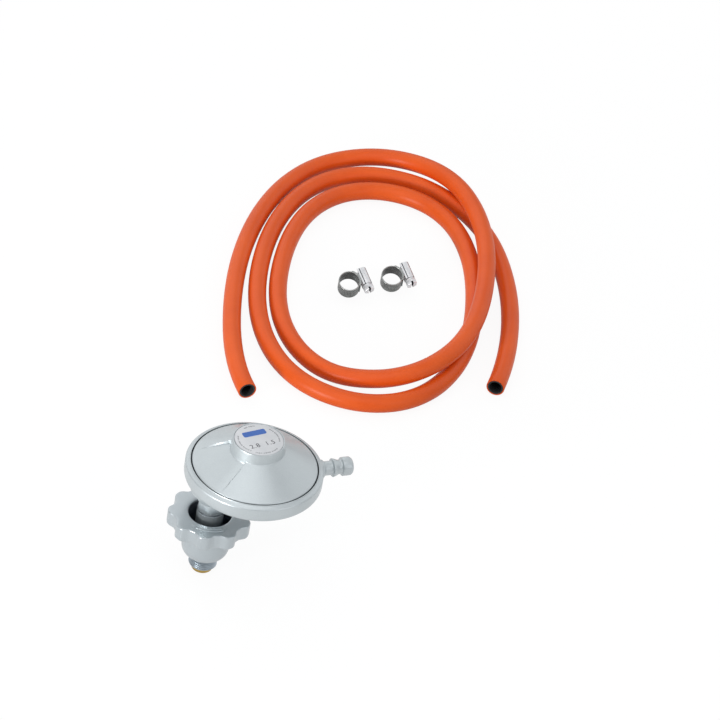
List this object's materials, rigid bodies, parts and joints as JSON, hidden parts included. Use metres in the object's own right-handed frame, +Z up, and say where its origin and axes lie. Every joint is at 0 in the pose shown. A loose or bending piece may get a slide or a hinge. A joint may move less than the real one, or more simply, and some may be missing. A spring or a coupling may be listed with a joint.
{
  "type": "gas regulator with hose and clips",
  "caption": "Disc-shaped low pressure gas regulator with a lobed handwheel inlet and a barbed outlet, beside its coiled rubber hose and worm drive clips.",
  "frame": {"origin": "centre of the inlet nose tip, on the inlet axis", "axes": "+Z up the inlet axis, +X along the outlet spigot, away from the body"},
  "size_m": [0.3141, 0.4169, 0.0925],
  "materials": {
    "cast_zinc": "satin",
    "label": "matte",
    "brass": "satin",
    "steel": "satin",
    "rubber_black": "matte",
    "bronze": "matte",
    "rubber_orange": "satin",
    "band_steel": "satin",
    "bright_steel": "polished"
  },
  "bodies": {
    "regulator": {"lower_body": "cast_zinc", "upper_cover": "cast_zinc", "hub_label": "label", "adjuster": "brass", "main_spring": "steel", "diaphragm": "rubber_black", "lever_pin": "steel", "orifice": "brass", "inlet_stem": "cast_zinc", "inlet_filter": "bronze", "inlet_nose": "brass", "nose_ring": "rubber_black", "gas_hose": "rubber_orange", "clip_band_a": "band_steel", "clip_band_b": "band_steel", "clip_housing_a": "bright_steel", "clip_housing_b": "bright_steel"},
    "diaphragm_centre": {"spring_plate": "steel", "centre_pin": "brass", "pin_nut": "steel"},
    "lever": {"lever": "steel"},
    "valve": {"valve_plunger": "brass", "valve_seal": "rubber_black"},
    "wheel_ring": {"slip_washer": "steel"},
    "handwheel": {"handwheel": "cast_zinc", "thread_nipple": "steel"},
    "clip_screw_a": {"clip_screw_a": "bright_steel"},
    "clip_screw_b": {"clip_screw_b": "bright_steel"}
  },
  "joints": [
    {"name": "handwheel_lift", "type": "slide", "parent": "regulator", "child": "wheel_ring", "axis": [0, 0, 1], "range_m": [0, 0.007]},
    {"name": "handwheel_spin", "type": "hinge", "parent": "wheel_ring", "child": "handwheel", "pos_m": [0, 0, 0.02], "axis": [0, 0, 1], "continuous": true},
    {"name": "diaphragm_stroke", "type": "slide", "parent": "regulator", "child": "diaphragm_centre", "axis": [0, 0, 1], "range_m": [0, 0.0015], "stiffness_N_per_m": 400, "springref_m": -0.004, "deforming": ["main_spring", "diaphragm"]},
    {"name": "lever_rock", "type": "hinge", "parent": "regulator", "child": "lever", "pos_m": [0.0075, 0, 0.0669], "axis": [0, -1, 0], "range_deg": [0, 5.6]},
    {"name": "valve_lift", "type": "slide", "parent": "regulator", "child": "valve", "axis": [0, 0, -1], "range_m": [0, 0.00075]},
    {"name": "clip_a_turn", "type": "hinge", "parent": "regulator", "child": "clip_screw_a", "pos_m": [0.18605, 0.23854, 0.01016], "axis": [0.1264, -0.9123, -0.3896], "continuous": true},
    {"name": "clip_b_turn", "type": "hinge", "parent": "regulator", "child": "clip_screw_b", "pos_m": [0.21585, 0.23994, 0.01016], "axis": [0.1264, -0.9123, -0.3896], "continuous": true}
  ],
  "couplings": [
    {"joint": "lever_rock", "follows": "diaphragm_stroke", "rad_per_m": 64.516},
    {"joint": "valve_lift", "follows": "diaphragm_stroke", "ratio": 0.48387}
  ]
}
